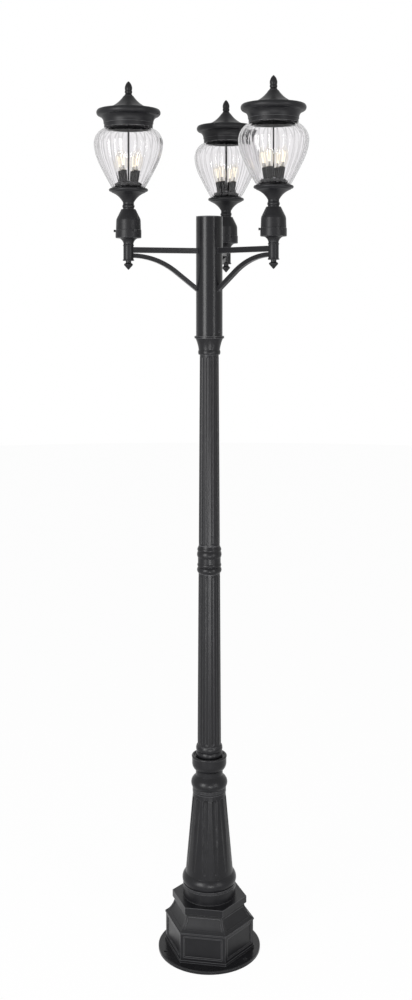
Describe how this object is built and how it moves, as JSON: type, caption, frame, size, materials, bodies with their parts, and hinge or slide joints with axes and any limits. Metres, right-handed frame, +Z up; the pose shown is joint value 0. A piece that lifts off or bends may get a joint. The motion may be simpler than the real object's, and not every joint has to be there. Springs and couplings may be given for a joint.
{
  "type": "triple head lamp post",
  "caption": "Outdoor lamp post with a fluted pole on a hexagonal base, curved arm braces and ribbed glass lanterns with candle bulbs.",
  "frame": {"origin": "on the pole's axis at the underside of the base plate, the centre of the anchor circle", "axes": "+Z up along the pole; +Y through the rear arm, the other two arms at 120 degrees either side"},
  "size_m": [0.7326, 0.6662, 2.9638],
  "materials": {
    "black_powder_coat": "matte",
    "black_rod": "satin",
    "zinc_plated_steel": "satin",
    "socket_plastic": "matte",
    "clear_ribbed_glass": "clear",
    "clear_bulb_glass": "clear"
  },
  "bodies": {
    "pole": {"arm_bar_left": "black_powder_coat", "arm_bar_rear": "black_powder_coat", "arm_bar_right": "black_powder_coat", "arm_brace_left": "black_powder_coat", "arm_brace_rear": "black_powder_coat", "arm_brace_right": "black_powder_coat", "base_plate": "black_powder_coat", "candle_sleeves_left": "black_powder_coat", "candle_sleeves_rear": "black_powder_coat", "candle_sleeves_right": "black_powder_coat", "centre_rods": "black_rod", "drop_finials": "black_powder_coat", "fitter_cup_left": "black_powder_coat", "fitter_cup_rear": "black_powder_coat", "fitter_cup_right": "black_powder_coat", "fitter_screws": "black_powder_coat", "globe_left": "clear_ribbed_glass", "globe_rear": "clear_ribbed_glass", "globe_right": "clear_ribbed_glass", "holder_pan_left": "black_powder_coat", "holder_pan_rear": "black_powder_coat", "holder_pan_right": "black_powder_coat", "hub_cap": "black_powder_coat", "hub_screws": "black_powder_coat", "hub_tube": "black_powder_coat", "lamp_sockets": "socket_plastic", "lower_post": "black_powder_coat", "mid_collar": "black_powder_coat", "nipple_nuts": "zinc_plated_steel", "pan_nipples": "zinc_plated_steel", "pedestal": "black_powder_coat", "post_couplers": "zinc_plated_steel", "shaft_collar": "black_powder_coat", "socket_plates": "black_powder_coat", "stem_left": "black_powder_coat", "stem_rear": "black_powder_coat", "stem_right": "black_powder_coat", "tapered_shaft": "black_powder_coat", "top_collar": "black_powder_coat", "upper_post": "black_powder_coat"},
    "roof_rear": {"roof_rear": "black_powder_coat"},
    "finial_rear": {"finial_rear": "black_powder_coat"},
    "bulb_rear_1": {"bulb_rear_1": "clear_bulb_glass"},
    "bulb_rear_2": {"bulb_rear_2": "clear_bulb_glass"},
    "bulb_rear_3": {"bulb_rear_3": "clear_bulb_glass"},
    "bulb_rear_4": {"bulb_rear_4": "clear_bulb_glass"},
    "roof_left": {"roof_left": "black_powder_coat"},
    "finial_left": {"finial_left": "black_powder_coat"},
    "bulb_left_1": {"bulb_left_1": "clear_bulb_glass"},
    "bulb_left_2": {"bulb_left_2": "clear_bulb_glass"},
    "bulb_left_3": {"bulb_left_3": "clear_bulb_glass"},
    "bulb_left_4": {"bulb_left_4": "clear_bulb_glass"},
    "roof_right": {"roof_right": "black_powder_coat"},
    "finial_right": {"finial_right": "black_powder_coat"},
    "bulb_right_1": {"bulb_right_1": "clear_bulb_glass"},
    "bulb_right_2": {"bulb_right_2": "clear_bulb_glass"},
    "bulb_right_3": {"bulb_right_3": "clear_bulb_glass"},
    "bulb_right_4": {"bulb_right_4": "clear_bulb_glass"}
  },
  "joints": [
    {"name": "roof_lift_rear", "type": "slide", "parent": "pole", "child": "roof_rear", "axis": [0, 0, 1], "range_m": [0, 0.14]},
    {"name": "finial_turn_rear", "type": "hinge", "parent": "roof_rear", "child": "finial_rear", "pos_m": [0, 0.286, 2.9138], "axis": [0, 0, 1], "range_deg": [0, 720]},
    {"name": "bulb_turn_rear_1", "type": "hinge", "parent": "pole", "child": "bulb_rear_1", "pos_m": [0.00819, 0.31656, 2.66211], "axis": [0.036, 0.1344, 0.9903], "range_deg": [0, 720]},
    {"name": "bulb_turn_rear_2", "type": "hinge", "parent": "pole", "child": "bulb_rear_2", "pos_m": [-0.03056, 0.29419, 2.66211], "axis": [-0.1344, 0.036, 0.9903], "range_deg": [0, 720]},
    {"name": "bulb_turn_rear_3", "type": "hinge", "parent": "pole", "child": "bulb_rear_3", "pos_m": [-0.00819, 0.25544, 2.66211], "axis": [-0.036, -0.1344, 0.9903], "range_deg": [0, 720]},
    {"name": "bulb_turn_rear_4", "type": "hinge", "parent": "pole", "child": "bulb_rear_4", "pos_m": [0.03056, 0.27781, 2.66211], "axis": [0.1344, -0.036, 0.9903], "range_deg": [0, 720]},
    {"name": "roof_lift_left", "type": "slide", "parent": "pole", "child": "roof_left", "axis": [0, 0, 1], "range_m": [0, 0.14]},
    {"name": "finial_turn_left", "type": "hinge", "parent": "roof_left", "child": "finial_left", "pos_m": [-0.24768, -0.143, 2.9138], "axis": [0, 0, 1], "range_deg": [0, 720]},
    {"name": "bulb_turn_left_1", "type": "hinge", "parent": "pole", "child": "bulb_left_1", "pos_m": [-0.2395, -0.11244, 2.66211], "axis": [0.036, 0.1344, 0.9903], "range_deg": [0, 720]},
    {"name": "bulb_turn_left_2", "type": "hinge", "parent": "pole", "child": "bulb_left_2", "pos_m": [-0.27824, -0.13481, 2.66211], "axis": [-0.1344, 0.036, 0.9903], "range_deg": [0, 720]},
    {"name": "bulb_turn_left_3", "type": "hinge", "parent": "pole", "child": "bulb_left_3", "pos_m": [-0.25587, -0.17356, 2.66211], "axis": [-0.036, -0.1344, 0.9903], "range_deg": [0, 720]},
    {"name": "bulb_turn_left_4", "type": "hinge", "parent": "pole", "child": "bulb_left_4", "pos_m": [-0.21713, -0.15119, 2.66211], "axis": [0.1344, -0.036, 0.9903], "range_deg": [0, 720]},
    {"name": "roof_lift_right", "type": "slide", "parent": "pole", "child": "roof_right", "axis": [0, 0, 1], "range_m": [0, 0.14]},
    {"name": "finial_turn_right", "type": "hinge", "parent": "roof_right", "child": "finial_right", "pos_m": [0.24768, -0.143, 2.9138], "axis": [0, 0, 1], "range_deg": [0, 720]},
    {"name": "bulb_turn_right_1", "type": "hinge", "parent": "pole", "child": "bulb_right_1", "pos_m": [0.25587, -0.11244, 2.66211], "axis": [0.036, 0.1344, 0.9903], "range_deg": [0, 720]},
    {"name": "bulb_turn_right_2", "type": "hinge", "parent": "pole", "child": "bulb_right_2", "pos_m": [0.21713, -0.13481, 2.66211], "axis": [-0.1344, 0.036, 0.9903], "range_deg": [0, 720]},
    {"name": "bulb_turn_right_3", "type": "hinge", "parent": "pole", "child": "bulb_right_3", "pos_m": [0.2395, -0.17356, 2.66211], "axis": [-0.036, -0.1344, 0.9903], "range_deg": [0, 720]},
    {"name": "bulb_turn_right_4", "type": "hinge", "parent": "pole", "child": "bulb_right_4", "pos_m": [0.27824, -0.15119, 2.66211], "axis": [0.1344, -0.036, 0.9903], "range_deg": [0, 720]}
  ]
}
